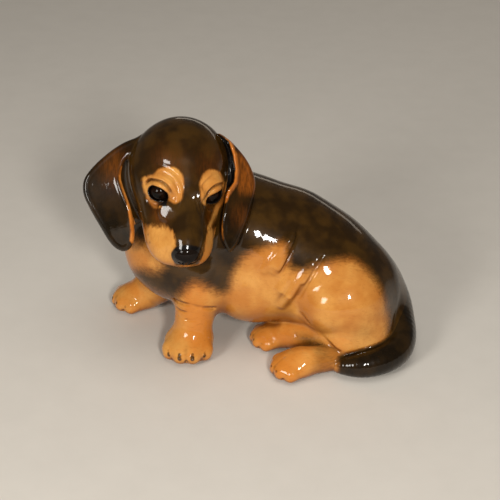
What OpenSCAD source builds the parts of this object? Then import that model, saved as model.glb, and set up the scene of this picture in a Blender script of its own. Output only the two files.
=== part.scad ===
// Glazed ceramic figurine of a dachshund puppy lying on its hip, head turned to one side.
// Millimetres, +Z up, the puppy stands on the plane Z = 0 and faces along -X with its head
// turned toward -Y. The body and the head are hollow slip castings that meet at the neck.
// Ears, legs, feet, tail, eyes and nose are separate solid pieces luted on to them.
// Every casting is a skin over a field: smooth unions of ellipsoids and tapered rods.

/* [Castings] */
// Wall of the hollow body and head
wall = 5; // [4:0.5:6.5]
// Seam left between two castings that are luted together
seam = 0.15; // [0.1:0.05:0.3]
// Bore of the vent hole under the seat
vent_diameter = 8; // [5:0.5:12]

/* [Head] */
// Turn of the head about the vertical, in degrees
head_turn = 5.7; // [0:0.1:12]
// Nod of the muzzle below the horizontal, in degrees
head_nod = 30.5; // [26:0.5:35]
// Tilt of the crown toward the puppy's left, in degrees
head_tilt = 11; // [6:0.5:14]
// Diameter of the eyeballs
eye_diameter = 12.8; // [11:0.2:13.6]
// Distance of each eye from the middle of the face
eye_offset = 16; // [15:0.1:17]
// Width of the nose pad
nose_width = 17.6; // [15:0.2:19]

/* [Ears and tail] */
// Thickness of the ear flaps
ear_thickness = 6; // [5:0.5:7]
// Radius of the tail near its root
tail_radius = 12; // [11:0.5:13]

/* [Fineness] */
// Facets round the body and the head
around = 44; // [32:2:48]
// Facets round each leg, ear and tail
limb_around = 26; // [20:2:30]

/* [Hidden] */
// middle of the footprint, so that the origin is under the middle of the figurine
middle = [3.16, -8.06, 0];
tan_glaze = [0.78, 0.5, 0.24];
dark_glaze = [0.2, 0.14, 0.08];
black_glaze = [0.05, 0.04, 0.04];

// where the head sits, and its three directions: facing, side (the puppy's left) and crown
head_at = [-44, 1.5, 127];
ahead = [sin(head_turn), -cos(head_turn), 0];
facing = cos(head_nod) * ahead - [0, 0, sin(head_nod)];
upright = sin(head_nod) * ahead + [0, 0, cos(head_nod)];
level = cross(upright, facing);
crown = upright * cos(head_tilt) + level * sin(head_tilt);
side = level * cos(head_tilt) - upright * sin(head_tilt);

// the plane where the neck of the body meets the head
neck_at = [-37, 9, 99];
neck_axis = unit([-0.3, -0.5, 0.8]);

// the ears hang in a frame that leans back with the brow
ear_up = [0, 0.5, 0.866];
ear_out = [0, -0.866, 0.5];

// ---------- small helpers

function unit(v) = v / norm(v);
function mix(a, b, t) = a + (b - a) * t;
function bump(x, middle, width) = exp(-pow((x - middle) / width, 2));

// a smooth curve through a list of points, u from 0 to 1
function curve(points, u) =
    let (
        n = len(points) - 1,
        s = min(max(u, 0), 0.99999) * n,
        i = floor(s),
        t = s - i,
        p0 = points[max(i - 1, 0)],
        p1 = points[i],
        p2 = points[i + 1],
        p3 = points[min(i + 2, n)]
    )
    0.5 * (2 * p1 + (p2 - p0) * t + (2 * p0 - 5 * p1 + 4 * p2 - p3) * t * t
        + (3 * p1 - p0 - 3 * p2 + p3) * t * t * t);

// ---------- fields, negative inside

function egg(p, c, r) =
    let (
        d = p - c,
        q = [d.x / r.x, d.y / r.y, d.z / r.z],
        s = [q.x / r.x, q.y / r.y, q.z / r.z]
    )
    norm(q) * (norm(q) - 1) / max(norm(s), 0.0001);

function rod(p, a, b, ra, rb) =
    let (d = b - a, t = min(max((p - a) * d / (d * d), 0), 1))
    norm(p - a - d * t) - mix(ra, rb, t);

function blend(a, b, k) =
    let (h = max(k - abs(a - b), 0) / k)
    min(a, b) - h * h * k / 4;

function carve(a, b, k) = -blend(-a, b, k);

// body: ribcage, back, rump, chest, belly and the two haunches
function trunk(p) =
    let (
        back = blend(rod(p, [4, 9, 70], [64, -4, 34], 38, 38), egg(p, [27, 9, 61], [37, 35, 40]), 10),
        rump = blend(back, egg(p, [50, 0, 50], [34, 37, 37]), 12),
        chest = blend(rump, egg(p, [-38, 8, 62], [46, 36, 40]), 12),
        belly = blend(chest, egg(p, [4, -2, 42], [34, 32, 28]), 10),
        near = blend(belly, egg(p, [62.5, -19.5, 39.5], [31, 31, 31]), 4),
        seat = blend(near, egg(p, [70, -26, 19], [26, 25, 20]), 8),
        far = blend(seat, egg(p, [62, 24, 24], [34, 22, 24]), 8)
    )
    blend(far, rod(p, [-20, 14, 80], [-42, 10, 112], 34, 27), 16);

// head, worked out in its own directions and mirrored about the middle of the face
function skull(p) =
    let (
        d = p - head_at,
        q = [d * facing, abs(d * side), d * crown],
        cheeks = blend(egg(q, [0, 0, 0], [30, 30, 29]), egg(q, [11, 14, -12], [25, 16, 18]), 10),
        muzzle = blend(cheeks, rod(q, [18, 0, -9], [52, 0, -11], 21.5, 16.3), 12),
        lips = blend(muzzle, egg(q, [48, 9, -13], [17, 10.5, 11]), 6),
        bridge = blend(lips, rod(q, [22, 0, 8], [58, 0, -1], 9, 8), 10),
        jaw = blend(bridge, rod(q, [15, 0, -20], [55, 0, -20.5], 12, 8.8), 6),
        brows = blend(jaw, egg(q, [23, 13.5, 12], [8.5, 9, 6]), 5)
    )
    carve(brows, norm(q - [30, 18.5, 4.5]) - 6, 5);

// the web of clay between the neck and the ear that stands clear of it
function web(p) = egg(p, [-68, 6, 106], [15, 15, 26]);

// the whole hide of body and head; the head can't reach past the withers
function hide(p) =
    p.x > 6 ? trunk(p) : blend(blend(trunk(p), web(p), 8), skull(p), 6);

// a paw with four toes, its heel at the given place and its toes along the heading
function paw(p, at, heading, size) =
    let (
        d = (p - at) / size,
        q = [
            d.x * cos(heading) + d.y * sin(heading),
            abs(d.y * cos(heading) - d.x * sin(heading)),
            d.z
        ],
        pad = egg(q, [-3, 0, 9], [15, 14, 11]),
        inner = blend(pad, rod(q, [2, 4.4, 11], [14, 4.8, 6], 5.5, 5.2), 2)
    )
    size * blend(inner, rod(q, [-2, 11, 9], [8, 12.5, 5.6], 5.5, 5), 2);

function left_fore(p) =
    let (
        arm = egg(p, [-31, -15, 50], [20, 17, 24]),
        leg = blend(arm, rod(p, [-35, -18, 40], [-38, -24, 16], 14, 12.5), 8)
    )
    blend(leg, paw(p, [-41, -27, 0], -93, 1), 6);

function right_fore(p) =
    blend(rod(p, [-48, 26, 34], [-70, 31, 14], 18, 13), paw(p, [-81, 33, 0], 190, 0.88), 6);

function left_hind(p) =
    blend(rod(p, [62, -38, 19], [27, -21, 11.5], 14, 10.5), paw(p, [15, -15.5, 0], 186, 0.76), 5);

function right_hind(p) =
    blend(rod(p, [56, -46, 9], [36, -52, 9], 9, 9.5), paw(p, [28, -51.5, 0], 188, 0.78), 5);

// ---------- skins: rings of points found along rays

// first place where a field reaches a level on the way out along a ray
function reach(o, d, field, level, t = 0, left = 16) =
    let (f = field(o + d * t) - level)
    left == 0 || abs(f) < 0.02 ? t : reach(o, d, field, level, max(t - 0.92 * f, 0), left - 1);

// the same, stopped at a flat floor
function landed(o, d, field, level, floor_z) =
    let (t = reach(o, d, field, level), f = d.z < 0 ? (floor_z - o.z) / d.z : 10000)
    o + d * min(t, f);

// pull a point back along its ray until it clears the host it's luted to
function clear_of(o, v, host, lo = 0, hi = 1, left = 10) =
    left == 10 && host(v) >= seam ? v
    : left == 0 ? o + (v - o) * lo
    : let (m = (lo + hi) / 2)
        host(o + (v - o) * m) >= seam ? clear_of(o, v, host, m, hi, left - 1)
        : clear_of(o, v, host, lo, m, left - 1);

// two directions across a heading, the first as near to a given one as can be
function across(n, near = [0, 1, 0]) =
    let (a = unit(near - n * (n * near)))
    [a, cross(n, a)];

// closed polyhedron from a first point, rings of equal length and a last point
module skin(first, rings, last) {
    n = len(rings[0]);
    m = len(rings);
    points = concat([first], [for (r = rings) each r], [last]);
    end = n * m + 1;
    faces = concat(
        [for (j = [0:n - 1]) [0, 1 + (j + 1) % n, 1 + j]],
        [
            for (i = [0:m - 2], j = [0:n - 1])
            let (a = 1 + i * n + j, b = 1 + i * n + (j + 1) % n)
            each [[a, b, b + n], [a, b + n, a + n]]
        ],
        [for (j = [0:n - 1]) [end, end - n + j, end - n + (j + 1) % n]]
    );
    polyhedron(points, faces, convexity = 8);
}

// solid piece grown round a path inside its own field, from inside its host out to its tip;
// its root follows the host's surface, and its sides are cut back where they would enter it
module grown(path, own, host, rows, near = [0, 1, 0]) {
    n = limb_around;
    caps = 6;
    function at(u) = curve(path, min(u, 1));
    function heading(u) = unit(at(min(u + 0.02, 1)) - at(max(min(u, 1) - 0.02, 0)));
    // a point of the wall: u runs along the path to 1, then round the tip to 2
    function wall_point(u, a) =
        let (
            h = heading(u),
            f = across(h, near),
            tip = 90 * max(u - 1, 0),
            d = cos(tip) * (cos(a) * f[0] + sin(a) * f[1]) + sin(tip) * h
        )
        landed(at(u), d, own, 0, 0);
    // where the wall at this angle first leaves the host
    function leaving(a, u = 0) =
        u > 1.85 || host(wall_point(u, a)) > seam ? narrowed(a, max(u - 0.06, 0), u, 8)
        : leaving(a, u + 0.06);
    function narrowed(a, lo, hi, left) =
        let (m = (lo + hi) / 2)
        left == 0 ? hi
        : host(wall_point(m, a)) > seam ? narrowed(a, lo, m, left - 1)
        : narrowed(a, m, hi, left - 1);
    // move a point straight on to the host's surface
    function settled(p, left = 6) =
        let (
            f = host(p) - seam,
            slope = [for (e = [[1, 0, 0], [0, 1, 0], [0, 0, 1]]) host(p + e) - host(p - e)]
        )
        left == 0 || abs(f) < 0.02 ? p : settled(p - unit(slope) * f, left - 1);
    starts = [for (j = [0:n - 1]) leaving(360 * j / n)];
    edge = [for (j = [0:n - 1]) wall_point(starts[j], 360 * j / n)];
    middle_point = [
        for (k = [0:2]) [for (e = edge) e[k]] * [for (e = edge) 1] / n
    ];
    skin(
        settled(middle_point),
        concat(
            [for (t = [0.3, 0.6, 0.85]) [for (e = edge) settled(mix(middle_point, e, t))]],
            [
                for (i = [0:rows + caps - 1])
                let (base = i < rows ? i / rows : 1 + (i - rows) / caps)
                [
                    for (j = [0:n - 1])
                    let (u = starts[j] + (2 - starts[j]) * base / 2)
                    i == 0 ? edge[j] : clear_of(at(u), wall_point(u, 360 * j / n), host)
                ]
            ]
        ),
        wall_point(2, 0)
    );
}

// ---------- the hollow castings

body_path = [neck_at, [-27, 8, 82], [-12, 7, 66], [12, 3, 54], [38, -1, 46], [62, -4, 40]];

function body_at(u) = curve(body_path, u);
function body_heading(u) =
    unit(mix(-neck_axis, unit(body_at(min(u + 0.05, 1)) - body_at(max(u - 0.05, 0))), min(u * 5, 1)));

function body_ring(u, tip, level, floor_z) =
    let (o = body_at(u), h = body_heading(u), f = across(h))
    [
        for (j = [0:around - 1])
        let (a = 360 * j / around)
        landed(o, cos(tip) * (cos(a) * f[0] + sin(a) * f[1]) + sin(tip) * h,
            function(p) hide(p), level, floor_z)
    ];

function body_rings(rows, caps, level, floor_z) = concat(
    [for (i = [0:rows]) body_ring(i / rows, 0, level, floor_z)],
    [for (i = [1:caps - 1]) body_ring(1, 90 * i / caps, level, floor_z)]
);

function body_end(level, floor_z) =
    landed(body_at(1), body_heading(1), function(p) hide(p), level, floor_z);

function backwards(a) = [for (i = [len(a) - 1:-1:0]) a[i]];

module torso_shell() {
    color(tan_glaze)
    difference() {
        skin(
            body_end(0, 0),
            concat(backwards(body_rings(30, 8, 0, 0)), body_rings(18, 6, -wall, wall)),
            body_end(-wall, wall)
        );
        translate([58, -6, -1]) cylinder(d = vent_diameter, h = wall + 3, $fn = 48);
    }
}

// the head's rays start behind the eyes and fan from the brow round to the neck
head_heart = head_at + 6 * facing - 4 * crown;
head_pole = unit(head_heart - neck_at);

// the rim of the neck on the head's side of the seam
function rim(a, level) =
    let (o = neck_at + neck_axis * seam, f = across(neck_axis))
    o + (cos(a) * f[0] + sin(a) * f[1])
        * reach(o, cos(a) * f[0] + sin(a) * f[1], function(p) hide(p), level);

// the columns crowd together toward the muzzle
muzzle_angle = let (f = across(neck_axis)) atan2(facing * f[1], facing * f[0]);
function column(j) =
    let (s = 360 * j / around)
    muzzle_angle + s - 0.55 * sin(s) * 180 / PI;

function crowded(s) = s - 0.55 / 360 * (sin(360 * (s - 0.7)) + sin(360 * 0.7)) * 180 / PI;

function head_ring(t, level) = [
    for (j = [0:around - 1])
    let (
        out = unit(rim(column(j), 0) - head_heart),
        span = acos(out * head_pole),
        away = unit(out - head_pole * (out * head_pole)),
        d = cos(span * t) * head_pole + sin(span * t) * away
    )
    head_heart + d * reach(head_heart, d, function(p) hide(p), level)
];

function head_rings(rows, level) = concat(
    [for (i = [1:rows - 1]) head_ring(crowded(i / rows), level)],
    [[for (j = [0:around - 1]) rim(column(j), level)]]
);

function head_top(level) =
    head_heart + head_pole * reach(head_heart, head_pole, function(p) hide(p), level);

module head_shell() {
    color(dark_glaze)
    difference() {
        skin(
            head_top(0),
            concat(head_rings(32, 0), backwards(head_rings(18, -wall))),
            head_top(-wall)
        );
        for (s = [-1, 1]) eyeball(s, seam);
    }
}

// ---------- eyes and nose

// an eyeball with a flat back, set in a socket of the same shape
module eyeball(s, gap) {
    r = eye_diameter / 2;
    at = head_at + 24.5 * facing + s * eye_offset * side + 3.8 * crown;
    axis = unit(facing + s * 0.55 * side + 0.12 * crown);
    f = across(axis);
    multmatrix([
        [f[0].x, f[1].x, axis.x, at.x],
        [f[0].y, f[1].y, axis.y, at.y],
        [f[0].z, f[1].z, axis.z, at.z],
        [0, 0, 0, 1]
    ])
    intersection() {
        sphere(r + gap, $fn = 64);
        translate([-2 * r, -2 * r, -2.5 - gap]) cube([4 * r, 4 * r, 4 * r]);
    }
}

module left_eye() {
    color(black_glaze) eyeball(1, 0);
}

module right_eye() {
    color(black_glaze) eyeball(-1, 0);
}

function on_head(f, l, u) = head_at + f * facing + l * side + u * crown;

module nose_pad() {
    // the pad is an egg across the tip of the muzzle
    function pad(p) =
        let (d = p - head_at)
        egg([d * facing, d * side, d * crown], [64.8, 0, -3.6], [7.3, nose_width / 2, 8.4]);
    color(black_glaze)
    grown([on_head(59, 0, -3), on_head(62, 0, -3), on_head(64, 0, -3)],
        function(p) pad(p), function(p) skull(p), 4, [1, 0, 0]);
}

// ---------- ears

// each ear is a leaf: its two edges, from the root down to the tip, in the hanging frame
right_outer = [[-24, 17], [-30, 15.5], [-38, 12], [-47, 5.7], [-56, -2.6], [-62, -11], [-62.5, -20],
    [-59, -28.5], [-55, -36], [-51, -43], [-47, -50], [-42.5, -55]];
right_inner = [[-25, 8.5], [-29, 6.5], [-34, 3], [-37, -2], [-38.2, -9], [-37, -15], [-34.4, -22],
    [-32, -29], [-30.6, -36], [-29.9, -43], [-30.5, -50], [-33, -55]];
left_outer = [[26, 17], [31, 14], [36, 9], [41, 3], [45, -4], [47.5, -12], [47, -20],
    [45, -28], [43, -36], [40, -44], [37, -51], [33.5, -56]];
left_inner = [[23, 12], [25.5, 8], [28, 3], [29.5, -2], [30, -8], [29.5, -15], [28.5, -22],
    [27.5, -29], [26.5, -36], [26, -43], [26.5, -49], [29, -55]];

// how far each leaf stands out of the hanging plane
function right_out(q) = 6 - 0.006 * pow(q.y + 15, 2) - 0.002 * pow(q.x + 45, 2) + 0.09 * (q.x + 40);
function left_out(q) = 7 - 0.55 * (q.x - 30) + 3.5 * bump(q.y, -33, 16) - 6 * bump(q.y, 24, 8);

function ear_point(q, w) = head_at + [q.x, 0, 0] + q.y * ear_up + w * ear_out;

module leaf(outer, inner, stand) {
    n = limb_around;
    rows = 30;
    caps = 5;
    // a ring round the section at u, shrunk toward its middle and slid along the leaf
    function ring(u, shrink, slide) =
        let (
            a = curve(outer, u),
            b = curve(inner, u),
            m = (a + b) / 2,
            half = (a - b) / 2 * shrink,
            o = ear_point(m, stand(m))
        )
        [
            for (j = [0:n - 1])
            let (
                c = cos(360 * j / n),
                s = sin(360 * j / n),
                e = sign(s) * pow(abs(s), 0.7) * ear_thickness / 2 * shrink,
                q = m + half * c + slide
            )
            clear_of(o, ear_point(q, stand(q) + e), function(p) hide(p))
        ];
    tip = (curve(outer, 1) + curve(inner, 1)) / 2 + [0, -2.5];
    root = (curve(outer, 0) + curve(inner, 0)) / 2;
    back = unit(root - (curve(outer, 0.1) + curve(inner, 0.1)) / 2) * 6;
    skin(
        clear_of(ear_point(root, stand(root)), ear_point(root + back, stand(root + back)),
            function(p) hide(p)),
        concat(
            [for (i = [1:caps]) ring(0, sin(90 * i / (caps + 1)), back * cos(90 * i / (caps + 1)))],
            [for (i = [0:rows]) ring(i / rows, 1, [0, 0])],
            [for (i = [1:caps - 1]) ring(1, cos(90 * i / caps), [0, -2.5] * sin(90 * i / caps))]
        ),
        ear_point(tip, stand(tip))
    );
}

module left_ear() {
    color(dark_glaze) leaf(left_outer, left_inner, function(q) left_out(q));
}

module right_ear() {
    color(dark_glaze) leaf(right_outer, right_inner, function(q) right_out(q));
}

// ---------- legs, feet and tail

module left_foreleg() {
    color(tan_glaze)
    grown([[-29, -9, 58], [-31, -14, 48], [-34.5, -20, 34], [-37, -23, 24], [-39, -25, 15],
        [-40.5, -31, 10], [-41, -36, 8.5]],
        function(p) left_fore(p), function(p) hide(p), 16, [1, 0, 0]);
}

module right_foreleg() {
    color(tan_glaze)
    grown([[-44, 25, 37], [-54, 28, 29], [-64, 30, 20], [-71, 31.5, 14], [-80, 32.5, 10], [-88, 31.5, 8.5]],
        function(p) right_fore(p), function(p) hide(p), 16);
}

module left_hind_foot() {
    color(tan_glaze)
    grown([[62, -36, 20], [46, -31, 16], [32, -24, 12], [22, -18.5, 10], [14, -15.5, 8], [9, -16, 7]],
        function(p) left_hind(p), function(p) hide(p), 14, [0, 0, 1]);
}

module right_hind_foot() {
    color(tan_glaze)
    grown([[57, -44, 9], [46, -49, 9], [38, -51.5, 8.5], [30, -52, 8.5], [21, -53, 7]],
        function(p) right_hind(p), function(p) min(hide(p), left_hind(p)), 14, [0, 0, 1]);
}

tail_path = [[84, 8, 26], [94, 0, 20], [100, -14, 14], [101, -29, 12], [97, -41, 11], [87.5, -50, 10],
    [76, -55, 8.5], [67, -55, 7.5], [60, -53.5, 6.5]];
tail_girth = [18, 15, 12, 10.5, 10, 9.5, 8.2, 7, 5.5];

module tail() {
    // rods strung along the path, each as thick as the girth there
    function whip(p, i = 0) =
        let (
            fat = tail_radius / 12,
            r = rod(p, tail_path[i], tail_path[i + 1], fat * tail_girth[i], fat * tail_girth[i + 1])
        )
        i == len(tail_path) - 2 ? r : blend(r, whip(p, i + 1), 5);
    color(dark_glaze)
    grown(tail_path, function(p) whip(p), function(p) min(hide(p), right_hind(p)), 26, [0, 0, 1]);
}

module placed() {
    translate(-middle) children();
}

placed() torso_shell();
placed() head_shell();
placed() left_ear();
placed() right_ear();
placed() left_eye();
placed() right_eye();
placed() nose_pad();
placed() left_foreleg();
placed() right_foreleg();
placed() left_hind_foot();
placed() right_hind_foot();
placed() tail();
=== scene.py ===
import math

import bpy
import numpy as np
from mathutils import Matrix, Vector


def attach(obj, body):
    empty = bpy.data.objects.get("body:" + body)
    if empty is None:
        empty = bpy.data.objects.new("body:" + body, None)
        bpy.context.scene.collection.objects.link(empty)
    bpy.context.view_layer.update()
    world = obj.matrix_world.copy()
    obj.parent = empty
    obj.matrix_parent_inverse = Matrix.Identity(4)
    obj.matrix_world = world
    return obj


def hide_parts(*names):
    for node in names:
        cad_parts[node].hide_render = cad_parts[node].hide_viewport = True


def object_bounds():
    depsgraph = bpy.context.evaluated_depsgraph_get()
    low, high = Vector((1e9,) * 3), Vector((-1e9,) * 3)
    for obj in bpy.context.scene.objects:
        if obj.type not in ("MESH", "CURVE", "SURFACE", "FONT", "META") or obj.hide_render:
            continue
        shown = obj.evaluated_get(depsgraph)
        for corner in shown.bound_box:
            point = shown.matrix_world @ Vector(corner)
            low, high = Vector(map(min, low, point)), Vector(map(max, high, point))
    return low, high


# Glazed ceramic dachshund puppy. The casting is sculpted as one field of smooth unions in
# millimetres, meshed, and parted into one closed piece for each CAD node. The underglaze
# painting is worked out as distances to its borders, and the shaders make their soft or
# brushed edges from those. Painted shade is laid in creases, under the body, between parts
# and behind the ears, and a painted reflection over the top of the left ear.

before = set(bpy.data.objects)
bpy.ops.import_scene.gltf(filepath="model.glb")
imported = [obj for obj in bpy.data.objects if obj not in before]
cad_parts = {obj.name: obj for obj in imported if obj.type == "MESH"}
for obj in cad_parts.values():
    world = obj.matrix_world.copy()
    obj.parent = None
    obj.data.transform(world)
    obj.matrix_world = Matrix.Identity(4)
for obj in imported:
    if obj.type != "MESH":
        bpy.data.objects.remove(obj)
cad_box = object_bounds()

MM = 0.001
# middle of the puppy's footprint in the sculpting frame, which the CAD box is centred on
FOOTPRINT = np.array([3.16, -8.06, 0])
BOX_LOW, BOX_HIGH = (np.array(corner) / MM for corner in cad_box)
SHIFT = np.append((BOX_LOW + BOX_HIGH)[:2] / 2, BOX_LOW[2]) - FOOTPRINT
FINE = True
STEP = 0.7 if FINE else 1.1


# ---------- vectors and fields; a field is negative inside

def vec(*numbers):
    return np.array(numbers, np.float32)


def unit(a):
    a = np.asarray(a, float)
    return (a / np.linalg.norm(a)).astype(np.float32)


def length(q):
    return np.sqrt(np.einsum("ij,ij->i", q, q))


def ball(p, centre, radius):
    return length(p - vec(*centre)) - radius


def egg(p, centre, radii):
    q = p - vec(*centre)
    r = vec(*radii)
    near = length(q / r)
    return near * (near - 1) / np.maximum(length(q / (r * r)), 1e-6)


def rod(p, a, b, radius_a, radius_b=None):
    a, b = vec(*a), vec(*b)
    radius_b = radius_a if radius_b is None else radius_b
    along = b - a
    t = np.clip(((p - a) @ along) / (along @ along), 0, 1)
    return length(p - a - t[:, None] * along) - (radius_a + (radius_b - radius_a) * t)


def through(points, n):
    """A smooth run of points through the given ones, n to each gap."""
    P = np.array([points[0]] + list(points) + [points[-1]], float)
    out = []
    for p0, p1, p2, p3 in zip(P, P[1:], P[2:], P[3:]):
        for t in np.arange(n) / n:
            out.append(0.5 * (2 * p1 + (p2 - p0) * t + (2 * p0 - 5 * p1 + 4 * p2 - p3) * t * t
                              + (3 * p1 - p0 - 3 * p2 + p3) * t ** 3))
    return np.array(out + [P[-1]], np.float32)


def string(p, beads):
    """Rods strung through beads, each a point and its radius."""
    d = None
    for a, b in zip(beads, beads[1:]):
        link = rod(p, a[:3], b[:3], a[3], b[3])
        d = link if d is None else np.minimum(d, link)
    return d


def line(p, points):
    """Distance to a line through points."""
    d = rod(p, points[0], points[1], 0)
    for a, b in zip(points[1:], points[2:]):
        d = np.minimum(d, rod(p, a, b, 0))
    return d


def blend(a, b, k):
    h = np.maximum(k - np.abs(a - b), 0) / k
    return np.minimum(a, b) - h * h * k / 4


def carve(a, b, k):
    return -blend(-a, b, k)


def meet(a, b, k):
    return -blend(-a, -b, k)


def smooth(x, low, high):
    t = np.clip((x - low) / (high - low), 0, 1)
    return t * t * (3 - 2 * t)


def hump(x, middle, width):
    return np.exp(-((x - middle) / width) ** 2)


FAR = 30


def nearby(p, centre, radius, field):
    """A field worked out only near its piece; further off, a distance clear of any blend."""
    away = length(p - vec(*centre)) - radius
    d = np.maximum(away, 0) + FAR
    close = away < 0
    if close.any():
        d[close] = field(p[close])
    return d


def polygon(a, b, corners):
    """Signed distance in a plane to a closed outline, negative inside."""
    corners = np.asarray(corners, np.float32)
    d = np.full(len(a), 1e9, np.float32)
    sign = np.ones(len(a), np.float32)
    for (x0, y0), (x1, y1) in zip(corners, np.roll(corners, 1, 0)):
        ex, ey = x1 - x0, y1 - y0
        wx, wy = a - x0, b - y0
        t = np.clip((wx * ex + wy * ey) / (ex * ex + ey * ey), 0, 1)
        d = np.minimum(d, (wx - ex * t) ** 2 + (wy - ey * t) ** 2)
        above, below, left = b >= y0, b < y1, ex * wy > ey * wx
        flips = (above & below & left) | ~(above | below | left)
        sign = np.where(flips, -sign, sign)
    return sign * np.sqrt(d)


def rounded(points, n=4):
    """A closed smooth outline through points."""
    P = np.array(points, float)
    out = []
    for i in range(len(P)):
        p0, p1, p2, p3 = P[i - 1], P[i], P[(i + 1) % len(P)], P[(i + 2) % len(P)]
        for t in np.arange(n) / n:
            out.append(0.5 * (2 * p1 + (p2 - p0) * t + (2 * p0 - 5 * p1 + 4 * p2 - p3) * t * t
                              + (3 * p1 - p0 - 3 * p2 + p3) * t ** 3))
    return np.array(out, np.float32)


# ---------- the head's own directions

HEAD = vec(-44, 1.5, 127)
TURN, NOD, TILT = (math.radians(a) for a in (5.7, 30.5, 11))


def head_axes():
    ahead = np.array([math.sin(TURN), -math.cos(TURN), 0])
    facing = math.cos(NOD) * ahead - np.array([0, 0, math.sin(NOD)])
    upright = math.sin(NOD) * ahead + np.array([0, 0, math.cos(NOD)])
    level = np.cross(upright, facing)
    crown = upright * math.cos(TILT) + level * math.sin(TILT)
    side = level * math.cos(TILT) - upright * math.sin(TILT)
    return np.stack([facing, side, crown], 1).astype(np.float32)


HEAD_AXES = head_axes()
NOSE = (64.8, 0, -3.6)
NECK = vec(-37, 9, 99)
NECK_AXIS = unit([-0.3, -0.5, 0.8])

EYE = vec(24.5, 16, 3.8)
EYE_RADIUS = 6.4
# the brow slopes back, so the way up the face leans back too
FACE_UP = vec(-0.872, 0, 0.488)
FACE_OUT = vec(0.488, 0, 0.872)


def in_head(p):
    """Points in the head's directions: facing, side, crown, and the same with the side folded."""
    q = (p - HEAD) @ HEAD_AXES
    s = q.copy()
    s[:, 1] = np.abs(s[:, 1])
    return q, s


def eye_frame(slant):
    """The directions of an eye's opening: outward along the lids, up across them, and out."""
    out = unit([0.72, 0.36, 0.5])
    up = unit(FACE_UP - out * (FACE_UP @ out))
    along = -np.cross(out, up)
    c, s = math.cos(slant), math.sin(slant)
    return along * c + up * s, up * c - along * s, out


# slant of the lids, and half their opening along and across, for the puppy's two eyes
EYES = {
    1: (eye_frame(math.radians(24)), 6.6, 3.9),
    -1: (eye_frame(math.radians(10)), 6.3, 5.3),
}


def eye_place(q, s, side):
    (along, up, out), _, _ = EYES[side]
    d = s - EYE
    return d @ along, d @ up, d @ out


def opening(x, y, half_long, half_high):
    """Signed distance to the almond between the lids, in the plane of the lids."""
    r = np.sqrt((x / half_long) ** 2 + (y / half_high) ** 2)
    return (r - 1) * half_high


# ---------- the sculpture

def lids(q, s, d):
    """Lids round both eyes, the creases over them and the wrinkles of the brow."""
    for side in (1, -1):
        here = (q[:, 1] * side > 0) & (length(s - EYE) < 26)
        if not here.any():
            continue
        x, y, z = eye_place(q[here], s[here], side)
        _, half_long, half_high = EYES[side]
        e = d[here]
        e = blend(e, ball(s[here], EYE, EYE_RADIUS + 1.3), 3)
        cut = np.maximum(opening(x, y, half_long, half_high), -z - 0.5)
        e = carve(e, cut, 1.2)
        rho = np.sqrt(x * x + y * y)
        over = smooth(y, 1.5, 5)
        e += 1.1 * hump(rho, 9.3, 0.9) * over
        e -= 0.6 * hump(rho, 11.4, 1.2) * over
        inward = smooth(-x, -6, 4) * smooth(y + 0.3 * rho, 0, 6)
        e += 0.28 * np.cos(rho * 2.2) * inward * smooth(rho, 10.5, 12.5) * smooth(-rho, -20, -16)
        d[here] = e
    return d


# gently domed planes of the face, at the inner end of the left brow and under the right eye:
# place, the way each faces, its dome's radius and its reach
PLANES = [
    ((-32.2, -34.1, 122.9), (0.091, -0.87, 0.484), 35, 4),
    ((-51.9, -39.9, 113.9), (-0.23, -0.845, 0.483), 60, 6.2),
]


LIPS = [(66, 0, -16), (64, 6, -19), (54, 12, -22.5), (42, 17, -24.5)]


def skull(p):
    q, s = in_head(p)
    d = blend(egg(s, (0, 0, 0), (30, 30, 29)), egg(s, (11, 14, -12), (25, 16, 18)), 10)
    d = blend(d, egg(q, (2, -6.5, -8), (27, 26.5, 24)), 8)
    d = blend(d, rod(s, (18, 0, -9), (52, 0, -11), 21.5, 16.3), 12)
    d = blend(d, egg(s, (48, 9, -13), (17, 10.5, 11)), 6)
    d = blend(d, rod(s, (22, 0, 8), (58, 0, -1), 9, 8), 10)
    d = blend(d, egg(q, (33, -13, -15), (20, 11, 13)), 7)
    d = blend(d, egg(q, (47, -11.5, -15), (16, 10.5, 11)), 5)
    jaw = rod(s, (15, 0, -20), (55, 0, -20.5), 12, 8.8)
    d = blend(d, jaw, 3.5)
    d = blend(d, egg(s, (23, 13.5, 12), (8.5, 9, 6)), 5)
    d = carve(d, ball(s, (30, 18.5, 4.5), 6), 5)
    d = lids(q, s, d)
    d = blend(d, egg(s, (64.5, 0, -3.5), (6.4, 8.8, 8)), 3)
    for at, facing, dome, reach in PLANES:
        at, facing = vec(*at), vec(*facing)
        lens = meet(ball(p, at - dome * facing, dome), ball(p, at - 2 * facing, reach), 2)
        d = blend(d, lens, 2.5)
    # lip line, and the groove under the nose
    d += 0.9 * hump(line(s, LIPS + [(32, 20, -22)]), 0, 0.8)
    d += 0.8 * hump(line(s, [(70, 0, -9), (66, 0, -16)]), 0, 0.8)
    return d


def nose(p):
    q, s = in_head(p)
    d = egg(s, NOSE, (7.3, 8.8, 8.4))
    d = carve(d, egg(s, (70.8, 4.1, -5), (3, 2.1, 1.7)), 1.2)
    d = carve(d, rod(s, (69.3, 5.2, -5.5), (67, 8.2, -4), 1.1, 0.6), 1)
    return d + 0.5 * hump(line(s, [(72.2, 0, -3), (71, 0, -11)]), 0, 0.7)


EAR_UP = vec(0, 0.5, 0.866)
EAR_OUT = vec(0, -0.866, 0.5)
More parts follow.
